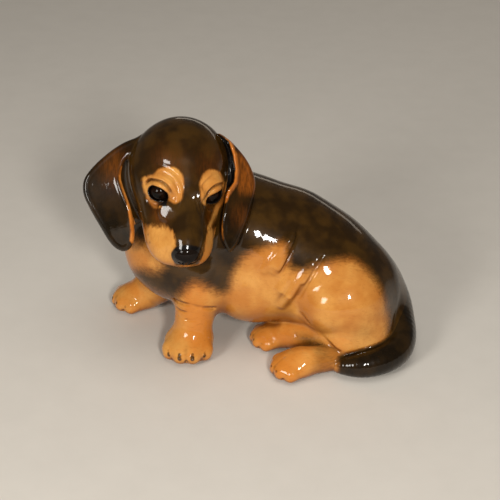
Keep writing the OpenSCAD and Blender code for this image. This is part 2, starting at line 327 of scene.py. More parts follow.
# outlines of the hanging ears in the plane that leans back with the brow: across, up
RIGHT_EAR = rounded([
    (-24, 17), (-30, 15.5), (-38, 12), (-47, 5.7), (-56, -2.6), (-62, -11), (-62.5, -20),
    (-59, -28.5), (-55, -36), (-51, -43), (-47, -50), (-42.5, -55), (-37.5, -57), (-33, -55),
    (-30.5, -50), (-29.9, -43), (-30.6, -36), (-32, -29), (-34.4, -22), (-37, -15), (-38.2, -9),
    (-37, -2), (-34, 3), (-29, 6.5), (-22, 9)])
LEFT_EAR = rounded([
    (24, 18), (31, 14), (36, 9), (41, 3), (45, -4), (47.5, -12), (47, -20), (45, -28),
    (43, -36), (40, -44), (37, -51), (33.5, -56), (31, -57.5), (29, -55), (26.5, -49),
    (26, -43), (26.5, -36), (27.5, -29), (28.5, -22), (29.5, -15), (30, -8), (29.5, -2),
    (28, 3), (25.5, 8), (21, 12)])


def in_ear(p):
    q = p - HEAD
    return q[:, 0], q @ EAR_UP, q @ EAR_OUT


def right_stand(a, b):
    return 6 - 0.006 * (b + 15) ** 2 - 0.002 * (a + 45) ** 2 + 0.09 * (a + 40)


def before_rim(a, b):
    """How far a point of the left ear lies in front of the ear's rolled rim."""
    return np.interp(b, (-25, -19, -13, -5, 4, 13, 20), (28, 30.7, 35, 35.8, 34.5, 31.5, 22)) - a


def left_stand(a, b):
    plain = 7 - 0.55 * (a - 30) + 3.5 * hump(b, -33, 16) - 6 * hump(b, 24, 8)
    hollow = before_rim(a, b)
    reach = smooth(b, -25, -17)
    return plain + reach * (1.6 * hump(hollow, 0, 1.5) - 5 * smooth(hollow, 0.8, 3.2))


def leaf(p, outline, stand, thick=5.4, rim=0.6):
    a, b, w = in_ear(p)
    edge = polygon(a, b, outline)
    # the border is rolled, and the face of the flap is slightly dished
    lift = rim * hump(edge, -1.8, 1.6) - 0.2 * smooth(-edge, 3, 12)
    flat = np.abs(w - stand(a, b) - lift * 0.5) - thick / 2 - lift * 0.5
    r = thick * 0.45
    x, y = np.maximum(edge + r, 0), np.maximum(flat + r, 0)
    return np.minimum(np.maximum(edge + r, flat + r), 0) + np.sqrt(x * x + y * y) - r


def right_ear(p):
    return nearby(p, (-87, -7, 112), 60, lambda q: leaf(q, RIGHT_EAR, right_stand))


def left_ear(p):
    return nearby(p, (-8, -7, 110), 58, lambda q: leaf(q, LEFT_EAR, left_stand))


def web(p):
    """The clay behind the ear that stands clear of the cheek, with a sheet across the recess between ear
    and cheek that the painting blackens as painted shade.
    """
    d = blend(egg(p, (-68, 10, 106), (15, 15, 26)), rod(p, (-73, 15, 124), (-78, 2, 93), 6, 9), 6)
    fold = np.stack(in_ear(p), 1)
    return blend(d, egg(fold, (-32, -13, -7), (12, 27, 6)), 4)


# rolls of loose skin over the flank, tapered where they run out: points and radii
ROLLS = [
    [(27.3, -22.5, 87, 1.5), (25.2, -24.6, 84, 2.2), (17.5, -28.6, 75.3, 2.4), (12.3, -30, 69, 1.8),
     (9.5, -29.8, 65.5, 1.2)],
    [(23, -28.2, 76.5, 1.4), (21.3, -29.3, 73.8, 2), (17.5, -31.4, 68.5, 2.3), (15.5, -30.8, 65.5, 1.4)],
    [(39.5, -30.3, 70, 1.5), (36.8, -31.9, 66, 2.2), (30.5, -34.8, 57, 2.9), (25.3, -36, 49.8, 2.7),
     (20.5, -32.5, 41, 1.2)],
    [(27, -31.6, 63.5, 1.4), (25, -32.4, 60.5, 2), (20, -34, 53, 2.2), (16.5, -31, 46, 1)],
]


def trunk(p):
    d = blend(rod(p, (4, 9, 70), (64, -4, 34), 38), egg(p, (27, 9, 61), (37, 35, 40)), 10)
    d = blend(d, egg(p, (50, 0, 50), (34, 37, 37)), 12)
    d = blend(d, egg(p, (-38, 8, 62), (46, 36, 40)), 12)
    d = blend(d, egg(p, (4, -2, 42), (34, 32, 28)), 10)
    d = blend(d, egg(p, (62.5, -19.5, 39.5), (31, 31, 31)), 3)
    d = blend(d, egg(p, (50.5, -35, 41), (14.5, 13, 15)), 7)
    for roll in ROLLS:
        d = blend(d, string(p, roll), 3.6)
    d = blend(d, egg(p, (70, -26, 19), (26, 25, 20)), 8)
    d = blend(d, egg(p, (62, 24, 24), (34, 22, 24)), 5)
    return blend(d, rod(p, (-20, 14, 80), (-42, 10, 112), 34, 27), 16)


def paw(p, at, heading, size, lift):
    a = math.radians(heading)
    c, s = math.cos(a), math.sin(a)
    d = (p - vec(*at)) / size
    q = np.stack([d[:, 0] * c + d[:, 1] * s, np.abs(d[:, 1] * c - d[:, 0] * s), d[:, 2]], 1)
    e = blend(egg(q, (-3, 0, 9), (15, 14, 11)), egg(q, (4.5, 0, 7.5), (14.2, 16, 9.4)), 4)
    for heel, tip, r0, r1 in TOES:
        e = blend(e, rod(q, heel, tip, r0, r1), 1.9)
        e = blend(e, ball(q, knuckle(tip), KNUCKLE_RADIUS), 1.2)
        top, low = claw(tip, r1, lift)
        e = blend(e, rod(q, top, low, 0.9, 1.2), 0.6)
    e += 1.2 * hump(line(q, [(6, 0, 17), (15, 0, 12), (18.5, 0, 2)]), 0, 0.9)
    e += 1.2 * hump(line(q, [(3, 7.6, 16), (11, 8.4, 12), (15.5, 9, 3)]), 0, 0.9)
    return e * size


TOES = [((2, 4, 11), (14.4, 4.2, 6), 5.2, 5), ((-2, 10.5, 9), (9.5, 11.4, 5.6), 5.4, 4.9)]
# heel, heading and size of each paw, and how far up and back its claws lie
PAWS = {
    "left_foreleg": ((-41, -27, 0), -93, 1, 0),
    "right_foreleg": ((-80, 32.5, 0), 206, 0.88, 0.3),
    "left_hind_foot": ((15, -16, 0), 198, 0.77, 0.45),
    "right_hind_foot": ((28.5, -50.8, 0), 208, 0.8, 0.45),
}


KNUCKLE_RADIUS = 5.6


def knuckle(tip):
    """The middle of the rounder knuckle behind and above a toe's tip."""
    x, y, z = tip
    return x - 2.2, y, z + 1.9


def claw(tip, radius, lift):
    """The two ends of a claw on a toe."""
    x, y, z = tip
    top = (x + (0.62 - lift) * radius, y, z + (0.75 + 0.14 * lift) * radius)
    low = (x + (0.98 - 0.75 * lift) * radius, y, z + (0.3 + 0.7 * lift) * radius)
    return top, low


def left_foreleg(p):
    d = egg(p, (-31, -15, 50), (20, 17, 24))
    d = blend(d, rod(p, (-35, -18, 40), (-38, -24, 16), 14, 12.5), 8)
    return blend(d, paw(p, *PAWS["left_foreleg"]), 6)


def right_foreleg(p):
    d = rod(p, (-48, 26, 34), (-70, 31, 14), 18, 13)
    return blend(d, paw(p, *PAWS["right_foreleg"]), 6)


def left_hind_foot(p):
    d = rod(p, (62, -38, 19), (27, -21, 11.5), 14, 10.5)
    return blend(d, paw(p, *PAWS["left_hind_foot"]), 5)


def right_hind_foot(p):
    d = rod(p, (56, -46, 9), (36, -51, 9), 9, 9.5)
    return blend(d, paw(p, *PAWS["right_hind_foot"]), 5)


# the tail's path and girth from its root round to the tip
TAIL = through([
    (84, 8, 26, 19), (93, 0, 20, 16), (98, -13, 15, 13), (99.5, -28, 12.5, 11), (96, -40, 11, 10.5),
    (87.5, -49, 10, 10), (76, -54, 9, 9), (67, -54.5, 8, 7.5), (59, -53, 7, 5.5)], 4)


def tail(p):
    return string(p, TAIL)


# creases (positive) and ridges (negative) of the loose skin: points, width, depth
SKIN = [
    ([(32, -18, 92), (29, -24, 84), (24, -30, 74), (20, -33, 65)], 1.2, 0.9),
    ([(47, -31, 75), (41, -35, 67), (36, -37, 58), (32, -37, 50)], 1.4, 1.2),
    ([(33, -37, 57), (29, -38, 46), (30, -37, 37), (37, -39, 31)], 2.2, 1.2),
    ([(-53, -14, 41), (-48, -26, 39.5), (-39, -34, 40.5), (-31, -34, 38.5), (-24, -29, 36)], 1.2, 1.5),
    ([(-48, -26, 34), (-40, -34, 34.5), (-33, -35, 34)], 0.9, 0.6),
    ([(-47, -28, 29), (-40, -34, 29.5), (-33, -35, 29.5)], 0.9, 0.45),
    ([(-62, 12, 36), (-66, 16, 28), (-70, 19, 20)], 1.6, 0.7),
    ([(-14, -32, 76), (-20, -33, 66), (-24, -33, 56)], 3.0, 0.8),
    ([(36, -44, 26), (46, -45, 24), (58, -50, 17)], 1.4, 0.8),
    ([(18, -24, 23), (24, -30, 21), (31, -34, 17)], 1.2, 0.6),
]


def creases(p):
    d = np.zeros(len(p), np.float32)
    for points, width, depth in SKIN:
        P = np.array(points, np.float32)
        close = (length(p - P.mean(0)) < np.abs(P - P.mean(0)).sum(1).max() + 4 * width)
        if close.any():
            d[close] += depth * hump(line(p[close], points), 0, width)
    return d


SKULL_REACH = ((-42, -16, 113), 68)


def components(p):
    """The field of each part of the casting, before they are joined."""
    return {
        "torso_shell": trunk(p),
        "head_shell": nearby(p, *SKULL_REACH, skull),
        "left_ear": left_ear(p),
        "right_ear": right_ear(p),
        "left_foreleg": nearby(p, (-37, -24, 30), 62, left_foreleg),
        "right_foreleg": nearby(p, (-72, 28, 18), 56, right_foreleg),
        "left_hind_foot": nearby(p, (32, -26, 14), 62, left_hind_foot),
        "right_hind_foot": nearby(p, (34, -52, 8), 52, right_hind_foot),
        "tail": nearby(p, (86, -25, 14), 66, tail),
    }


def casting(p):
    """The whole glazed casting, standing on its flat underside."""
    c = components(p)
    d = blend(c["torso_shell"], c["left_foreleg"], 7)
    d = blend(d, c["right_foreleg"], 7)
    d = blend(d, c["left_hind_foot"], 3.5)
    d = blend(d, c["right_hind_foot"], 2)
    d = blend(d, c["tail"], 1.6 + 12 * smooth(p[:, 0] + 0.3 * p[:, 1], 80, 98))
    front = p[:, 0] < 8
    d[front] = blend(d[front], web(p[front]), 8)
    d = blend(d, c["head_shell"], 6)
    d = blend(d, c["left_ear"], 2.2)
    d = blend(d, c["right_ear"], 2.2)
    d += creases(p)
    return meet(d, -p[:, 2], 1.4)


# ---------- meshing a field

def worked(field, P, chunk=50000):
    out = np.empty(len(P), np.float32)
    for i in range(0, len(P), chunk):
        out[i:i + chunk] = field(P[i:i + chunk])
    return out


def slope(field, P, reach):
    """Gradient and value of a field, from the four corners of a small tetrahedron."""
    corners = vec(1, -1, -1), vec(-1, -1, 1), vec(-1, 1, -1), vec(1, 1, 1)
    values = [worked(field, P + reach * c) for c in corners]
    gradient = sum(c * v[:, None] for c, v in zip(corners, values)) / (4 * reach)
    return gradient, sum(values) / 4


def settle(field, P, step, times=2):
    """Move points on to the surface, and give its normals there."""
    for _ in range(times):
        g, d = slope(field, P, step * 0.35)
        P = P - (np.clip(d, -step, step) / np.maximum((g * g).sum(1), 0.2))[:, None] * g
    g, _ = slope(field, P, step * 0.45)
    return P.astype(np.float32), g / np.maximum(length(g), 1e-9)[:, None]


CORNERS = [(a, b, c) for a in (0, 1) for b in (0, 1) for c in (0, 1)]


def meshed(field, low, high, step):
    """Surface nets: points and quads of a field's surface, found first on a coarse grid."""
    C = 4
    low = np.asarray(low, np.float32)
    n = np.ceil((np.asarray(high) - low) / (step * C)).astype(int) * C
    coarse = np.stack(np.meshgrid(*[np.arange(k // C + 1) for k in n], indexing="ij"), -1)
    at = (low + coarse.reshape(-1, 3).astype(np.float32) * step * C).astype(np.float32)
    rough = worked(field, at).reshape(coarse.shape[:3])
    near = np.abs(rough) < step * C * 1.8
    cell = np.zeros(tuple(n // C), bool)
    for a, b, c in CORNERS:
        cell |= near[a:a + cell.shape[0], b:b + cell.shape[1], c:c + cell.shape[2]]
    need = np.zeros(tuple(n + 1), bool)
    fine = cell.repeat(C, 0).repeat(C, 1).repeat(C, 2)
    for a, b, c in CORNERS:
        need[a:a + n[0], b:b + n[1], c:c + n[2]] |= fine
    D = np.ones(tuple(n + 1), np.float32)
    D[:-1, :-1, :-1] = rough[:-1, :-1, :-1].repeat(C, 0).repeat(C, 1).repeat(C, 2)
    D[need] = worked(field, (low + np.argwhere(need).astype(np.float32) * step).astype(np.float32))
    I = D < 0
    for axis in range(3):
        for wall in (0, -1):
            cut = [slice(None)] * 3
            cut[axis] = wall
            I[tuple(cut)] = False
    count = sum(I[a:a + n[0], b:b + n[1], c:c + n[2]].astype(np.int8) for a, b, c in CORNERS)
    cells = np.argwhere((count > 0) & (count < 8))
    number = np.full(tuple(n), -1, np.int64)
    number[tuple(cells.T)] = np.arange(len(cells))
    total, weight = np.zeros((len(cells), 3)), np.zeros(len(cells))
    for a in CORNERS:
        for axis in range(3):
            if a[axis]:
                continue
            b = np.array(a)
            b[axis] = 1
            here, there = tuple((cells + a).T), tuple((cells + b).T)
            crossed = I[here] != I[there]
            gap = D[here] - D[there]
            t = np.clip(D[here] / np.where(np.abs(gap) > 1e-9, gap, 1), 0, 1)
            point = np.array(a, float)[None].repeat(len(cells), 0)
            point[:, axis] += t
            total[crossed] += point[crossed]
            weight[crossed] += 1
    P = (low + (cells + total / weight[:, None]) * step).astype(np.float32)
    quads = []
    for axis in range(3):
        u, w = [k for k in range(3) if k != axis]
        one, two = [slice(None)] * 3, [slice(None)] * 3
        one[axis], two[axis] = slice(0, n[axis]), slice(1, n[axis] + 1)
        e = np.argwhere(I[tuple(one)] != I[tuple(two)])
        e = e[(e[:, u] > 0) & (e[:, u] < n[u]) & (e[:, w] > 0) & (e[:, w] < n[w])]
        ring = []
        for du, dw in ((-1, -1), (0, -1), (0, 0), (-1, 0)):
            c = e.copy()
            c[:, u] += du
            c[:, w] += dw
            ring.append(number[tuple(c.T)])
        q = np.stack(ring, 1)
        inside = I[tuple(e.T)]
        turned = ~inside if axis != 1 else inside
        q[turned] = q[turned][:, ::-1]
        quads.append(q)
    return P, np.concatenate(quads)


# ---------- parting the casting

def labels_of(P):
    """Which node each point belongs to: the nearest part, the head above the neck's seam."""
    c = components(P)
    names = list(c)
    nearest = np.argmin(np.stack([c[n] for n in names]), 0)
    above = ((P - NECK) @ NECK_AXIS > 0) & (P[:, 0] < 10)
    body = nearest < 2
    nearest[body] = np.where(above[body], 1, 0)
    return nearest, names


def edges_of(Q):
    """Each edge once, with the two faces beside it."""
    a = Q.ravel()
    b = np.roll(Q, -1, 1).ravel()
    key = np.minimum(a, b).astype(np.int64) * (Q.max() + 1) + np.maximum(a, b)
    order = np.argsort(key, kind="stable")
    face = order // 4
    same = key[order][1:] == key[order][:-1]
    first = np.nonzero(same)[0]
    return a[order][first], b[order][first], face[first], face[first + 1]


def tidy_borders(field, P, Q, label, step):
    """Slide the points along the borders between parts until the borders run smoothly."""
    a, b, f, g = edges_of(Q)
    cut = label[f] != label[g]
    a, b = a[cut], b[cut]
    border = np.unique(np.concatenate([a, b]))
    for _ in range(6):
        total, weight = np.zeros_like(P), np.zeros(len(P), np.float32)
        for m, n in ((a, b), (b, a)):
            np.add.at(total, m, P[n])
            np.add.at(weight, m, 1)
        mean = total[border] / weight[border][:, None]
        P[border] = 0.5 * P[border] + 0.5 * mean
        P[border], _ = settle(field, P[border], step, 1)
    return P


def loops_of(Q):
    """The closed loops of open edges round a set of faces."""
    a = Q.ravel()
    b = np.roll(Q, -1, 1).ravel()
    has = set(zip(a.tolist(), b.tolist()))
    after = {}
    for m, n in has:
        if (n, m) not in has:
            after.setdefault(n, []).append(m)
    loops = []
    while after:
        start = next(iter(after))
        loop, at = [], start
        while at in after:
            loop.append(at)
            nxt = after[at].pop()
            if not after[at]:
                del after[at]
            at = nxt
        loops.append(loop)
    return [loop for loop in loops if len(loop) > 2]


def cap(P, loops):
    """Rings that close each open loop with a shallow hollow, for the hidden inner face."""
    points, faces = [], []
    base = len(P)
    for loop in loops:
        rim = P[loop]
        centre = rim.mean(0)
        previous = list(loop)
        for t in (0.45, 0.8):
            ring = rim + (centre - rim) * t
            index = list(range(base, base + len(ring)))
            points.append(ring)
            base += len(ring)
            faces += [(previous[i], previous[i - 1], index[i - 1], index[i]) for i in range(len(ring))]
            previous = index
        points.append(centre[None])
        faces += [(previous[i], previous[i - 1], base) for i in range(len(loop))]
        base += 1
    return (np.concatenate(points) if points else np.zeros((0, 3))), faces


# ---------- underglaze painting, as distances to its borders

# a layer's value where there is none of it anywhere near
BARE = -9
# the painted pattern of the face is centred a little to one side of the casting's middle
FACE_MIDDLE = 1.3
# the face's tan, as places across from its middle and up it
BROW = rounded([(24.5, -12), (22.5, -9), (19.6, -6.3), (15, -5), (10.5, -5.6), (6.8, -8.9), (5, -13.4),
                (5, -19.3), (6.2, -25.6), (10, -28), (13.5, -26), (20, -18), (24, -16)])
MUZZLE = rounded([
    (27.5, -48), (26, -43), (23.5, -41.6), (19, -42), (15.5, -41.5), (12.2, -43.5), (10.6, -47),
    (9.6, -51), (9.4, -57), (8.4, -62), (6, -66), (-4, -67.5), (-4, -100), (28, -100), (28, -60)])
CHEEK_STRIP = [(27, -13, 0), (25.5, -20, 0), (20.5, -28, 0), (17.5, -36, 0), (13.5, -42, 0)]
# whisker spots on the sides of the muzzle: how far ahead and how high
WHISKERS = [(54, -11), (49, -10), (44, -11), (51.5, -15), (46.5, -14.5), (41.5, -15.5)]
LID_RING = [(24.6, -12, 0), (25, -18, 0), (23.6, -24, 0), (20.5, -29, 0)]
LID_LINE = [(24.6, -14, 0), (24.4, -19, 0), (22.4, -25, 0)]
# the body's dark saddle and the tan of the chest under it, with the dark brought lower under the chin,
# partly the
# dark neck and partly painted shade: places along the body, and up it with the height lessened towards
# either side
SADDLE = rounded([
    (-120, 200), (-120, 60), (-88, 46), (-78, 38), (-72, 32), (-62, 26), (-52, 22), (-46, 25),
    (-40, 31), (-34, 33), (-27, 30), (-19, 26), (-14, 29), (-12, 38), (-8, 45), (-3, 51), (6, 55),
    (18, 59), (23.5, 57), (25, 50), (26, 43.5), (30, 41.5), (36, 41.5), (47, 45.5), (57, 48), (66, 48),
    (75, 42), (83.5, 31), (88, 20.5), (91, 8.5), (90.5, -2), (92, -20), (100, -60), (150, -60),
    (150, 200)])
CHEST = rounded([(-95, 40), (-84, 58), (-70, 60), (-58, 52), (-56, 43), (-62, 39), (-72, 40), (-84, 36)])


def face_paint(P):
    """Dark, black, ruddy, and dark marks with painted shade on the head: the tan brows, muzzle, cheeks and
    lids.
    """
    q, s = in_head(P)
    across = np.abs(q[:, 1] - FACE_MIDDLE)
    up = s @ FACE_UP
    out = s @ FACE_OUT
    flat = np.stack([across, up, np.zeros(len(P))], 1).astype(np.float32)
    left = q[:, 1] > FACE_MIDDLE
    tan = -polygon(across, up, BROW)
    tan = np.maximum(tan, -polygon(across, up, MUZZLE))
    ring = 1.8 - line(flat, LID_RING)
    strip = 1.9 - line(flat, CHEEK_STRIP)
    tan = np.maximum(tan, np.where(left, strip, np.maximum(ring, np.minimum(strip, up + 31))))
    tan = np.minimum(tan, np.where(left, 9, line(flat, LID_LINE) * 1.2 - 0.5))
    black = np.full(len(P), BARE, np.float32)
    marks_and_shade = np.zeros(len(P), np.float32)
    for side in (1, -1):
        here = (q[:, 1] * side > 0) & (length(s - EYE) < 20)
        x, y, z = eye_place(q[here], s[here], side)
        _, half_long, half_high = EYES[side]
        gap = opening(x, y, half_long, half_high)
        rho = np.sqrt(x * x + y * y)
        lid = np.minimum(9.6 - rho, y + 1.5)
        tan[here] = np.maximum(tan[here], lid)
        inner = np.stack([x, y, 0 * x], 1)
        corner = rod(inner, (-half_long + 0.6, 2.5, 0), (-half_long - 0.2, -half_high, 0), 1.2)
        black[here] = np.maximum(0.8 - gap, -corner)
        # painted shade darkens the crease over each eye
        marks_and_shade[here] = 0.75 * hump(rho, 9.3, 0.8) * smooth(y, 1.5, 5)
    tan = np.minimum(tan, out + 4)
    throat = np.minimum(np.minimum(-(s[:, 2] + 24), s[:, 0]), 19 - s[:, 1])
    tan = np.maximum(tan, throat)
    nose_gap = egg(s, NOSE, (7.8, 9.4, 9))
    black = np.maximum(black, 0.5 - nose_gap)
    black = np.maximum(black, 0.7 - rod(s, (68, 0, -10), (66, 0, -17), 0))
    # darker along the lip line: a dark mouth line, with painted shade in its groove
    marks_and_shade = np.maximum(marks_and_shade, 0.6 * hump(line(s, LIPS), 0, 1.0))
    for ahead, high in WHISKERS:
        spot = np.sqrt((s[:, 0] - ahead) ** 2 + (s[:, 2] - high) ** 2)
        marks_and_shade = np.maximum(marks_and_shade, 0.65 * hump(spot, 0, 0.7) * (s[:, 1] > 6))
    ruddy = 0.8 * hump(length((s - vec(40, 15, -2)) / vec(9, 5, 8)), 0, 1)
    ruddy += 0.35 * hump(length((s - vec(16, 14, 21)) / vec(12, 12, 8)), 0, 1)
    return -tan, black, ruddy, marks_and_shade


def ear_paint(P, outline, side):
    a, b, w = in_ear(P)
    flat = np.stack([a, b, np.zeros(len(P))], 1).astype(np.float32)
    if side < 0:
        rim = [(-37, -4, 0), (-38.2, -9, 0), (-37, -15, 0), (-34.4, -22, 0), (-32, -29, 0), (-30.6, -36, 0),
               (-29.9, -43, 0), (-30.5, -50, 0)]
        tan = 1.3 + 1.1 * smooth(-b, 20, 40) - line(flat, rim)
        ruddy = 0.5 * hump(length((flat - vec(-42, -3, 0)) / vec(8, 12, 1)), 0, 1)
        black = np.full(len(P), BARE, np.float32)
    else:
        rim = [(22, 20, 0), (27.5, 17.5, 0), (31.5, 13, 0), (34.5, 4, 0), (35.8, -5, 0), (35, -13, 0),
               (31, -19, 0), (28, -25, 0)]
        low = [(26.5, -25, 0), (25.5, -32, 0), (25.5, -40, 0), (26, -50, 0)]
        tan = np.maximum(1.4 - line(flat, rim), 1.0 - line(flat, low))
        # painted reflection: orange-brown over the outer side of the flap towards the top
        ruddy = smooth(a, 35, 38) * smooth(b, -24, -16)
        ruddy += 0.35 * hump(length((flat - vec(38, -34, 0)) / vec(6, 8, 1)), 0, 1)
        # painted shade: black in the hollow between the left ear's rolled rim and the head, above the lobe
        black = np.minimum(2 * before_rim(a, b) - 2.4, b + 21)
    return -tan, black, ruddy


def body_paint(P, c):
    fold = 0.866 * P[:, 2] - 0.5 * np.abs(P[:, 1] - 2)
    dark = -polygon(P[:, 0], fold, SADDLE)
    chest = -polygon(P[:, 0], fold, CHEST)
    soft = 5.5 + 1.5 * smooth(-P[:, 0], 15, 30)
    dark = np.minimum(dark, -chest) / soft
    under = np.minimum((P[:, 0] - 57) / 3, (1.6 - c["tail"]) / 1.4)
    dark = np.maximum(dark, np.where(P[:, 2] < 34, under, BARE))
    black = np.full(len(P), BARE, np.float32)
    # painted shade: between the two hind feet, above the crease between haunch and tail, in the skin
    # creases, and on the lower hind foot next to the tail
    marks_and_shade = 0.8 * hump(length((P - vec(37, -41, 17)) / vec(15, 7, 5)), 0, 1)
    marks_and_shade += 0.4 * hump(length((P - vec(76, -52, 30)) / vec(10, 6, 5)), 0, 1)
    marks_and_shade += 0.08 * smooth(creases(P), 0.25, 1.0)
    marks_and_shade += 0.5 * smooth(P[:, 0], 38, 46) * (c["right_hind_foot"] < 1)
    for at, heading, size, lift in PAWS.values():
        a = math.radians(heading)
        d = (P - vec(*at)) / size
        here = length(d) < 34
        d = d[here]
        q = np.stack([d[:, 0] * math.cos(a) + d[:, 1] * math.sin(a),
                      np.abs(d[:, 1] * math.cos(a) - d[:, 0] * math.sin(a)), d[:, 2]], 1)
        e = np.full(len(q), BARE, np.float32)
        for heel, tip, r0, r1 in TOES:
            top, low = claw(tip, r1, lift)
            e = np.maximum(e, -rod(q, top, low, 1.1, 1.35))
        black[here] = np.maximum(black[here], e * size)
        # painted shade in the clefts between the toes
        between = line(q, [(8, 0, 16.5), (17, 0, 11), (19, 0, 2)])
        cleft = line(q, [(4, 7.8, 15), (12, 8.6, 11), (15.5, 9.2, 3)])
        marks_and_shade[here] += (0.4 + 0.7 * lift) * hump(np.minimum(between, cleft), 0, 1.1)
    return dark, black, np.zeros(len(P), np.float32), marks_and_shade


def painted(P, N, label, names):
    """Every painting layer at each point of the casting."""
    c = components(P)
    dark, black, ruddy, marks_and_shade = body_paint(P, c)
    ragged = np.full(len(P), 0.35, np.float32)
    stroke = P * vec(0.3, 1, 1)
    head = (label == names.index("head_shell")) & (c["head_shell"] < c["torso_shell"] + 0.5)
    face_dark, face_black, face_ruddy, face_marks_and_shade = face_paint(P[head])
    q, s = in_head(P[head])
    across, up = np.abs(q[:, 1] - FACE_MIDDLE), s @ FACE_UP
    soft = 1.1 + 1.8 * smooth(across, 11, 17) * hump(up, -42, 6)
    dark[head], black[head], ruddy[head], marks_and_shade[head] = face_dark / soft, face_black, face_ruddy, face_marks_and_shade
    ragged[head] = 0.45 + 0.4 * smooth(-up, 26, 34)
    stroke[head] = np.stack([q[:, 1], up * 0.22, s @ FACE_OUT * 0.3], 1)
    for node, outline, side in (("right_ear", RIGHT_EAR, -1), ("left_ear", LEFT_EAR, 1)):
        here = label == names.index(node)
        ear_dark, black[here], ruddy[here] = ear_paint(P[here], outline, side)
        dark[here] = ear_dark
        marks_and_shade[here] = 0
        ragged[here] = 0.7
        a, b, w = in_ear(P[here])
        stroke[here] = np.stack([a, b * 0.2, w * 0.3], 1)
    # painted shade: black over the clay behind the right ear and in the recess between that ear and the
    # cheek
    behind = hump(length((P - vec(-66, -2, 108)) / vec(16, 14, 30)), 0, 1)
    black = np.maximum(black, np.where(head | (label == 0), behind * 6 - 3.2, BARE))
    # darker and redder where the glaze gathers in creases, partly painted shade there, and painted shade on
    # every surface that faces down
    pool_and_shade = 0
    for reach in (1.2, 3.5):
        pool_and_shade = pool_and_shade + np.clip(1 - worked(casting, P + reach * N) / reach, 0, 1) * 0.5
    pool_and_shade = pool_and_shade + np.where(head, 0.25, 0.5) * smooth(-N[:, 2], -0.3, 0.7)
    ridge = np.clip(1 + worked(casting, P - 2 * N) / 2, 0, 1)
    return {"dark": dark, "black": black, "ruddy": ruddy, "marks_and_shade": marks_and_shade, "ragged": ragged,
            "pool_and_shade": pool_and_shade, "ridge": ridge}, stroke


# ---------- shaders

def linear(red, green, blue):
    def one(c):
        c /= 255
        return c / 12.92 if c <= 0.04045 else ((c + 0.055) / 1.055) ** 2.4
    return one(red), one(green), one(blue), 1


class Paint:
    """A material's node tree, with short calls for the nodes it's made of."""

    def __init__(self, name):
        self.material = bpy.data.materials.new(name)
        self.material.use_nodes = True
        self.tree = self.material.node_tree
        self.surface = self.tree.nodes["Principled BSDF"]

    def node(self, kind, sockets=(), **settings):
        n = self.tree.nodes.new("ShaderNode" + kind)
        for key, value in settings.items():
            setattr(n, key, value)
        for key, value in dict(sockets).items():
            self.put(n.inputs[key], value)
        return n

    def put(self, socket, value):
        if isinstance(value, bpy.types.NodeSocket):
            self.tree.links.new(value, socket)
        else:
            socket.default_value = value

    def value(self, name):
        return self.node("Attribute", attribute_name=name).outputs["Fac"]

    def vector(self, name):
        return self.node("Attribute", attribute_name=name).outputs["Vector"]

    def noise(self, vector, scale, detail=3, roughness=0.55):
        sockets = {"Vector": vector, "Scale": scale, "Detail": detail, "Roughness": roughness}
        return self.node("TexNoise", sockets).outputs["Fac"]

    def math(self, operation, a, b=0.0, c=0.0):
        return self.node("Math", {0: a, 1: b, 2: c}, operation=operation).outputs[0]

    def ramp(self, x, low, high, to_low=0.0, to_high=1.0):
        sockets = {"Value": x, "From Min": low, "From Max": high, "To Min": to_low, "To Max": to_high}
        return self.node("MapRange", sockets, interpolation_type="SMOOTHSTEP").outputs["Result"]

    def mix(self, factor, a, b):
        n = self.node("Mix", data_type="RGBA")
        self.put(n.inputs["Factor"], factor)
        self.put(n.inputs[6], a)
        self.put(n.inputs[7], b)
        return n.outputs[2]

    def bump(self, height, distance, strength):
        return self.node("Bump", {"Height": height, "Distance": distance, "Strength": strength}).outputs[0]

    def set(self, **sockets):
        for key, value in sockets.items():
            self.put(self.surface.inputs[key.replace("_", " ")], value)


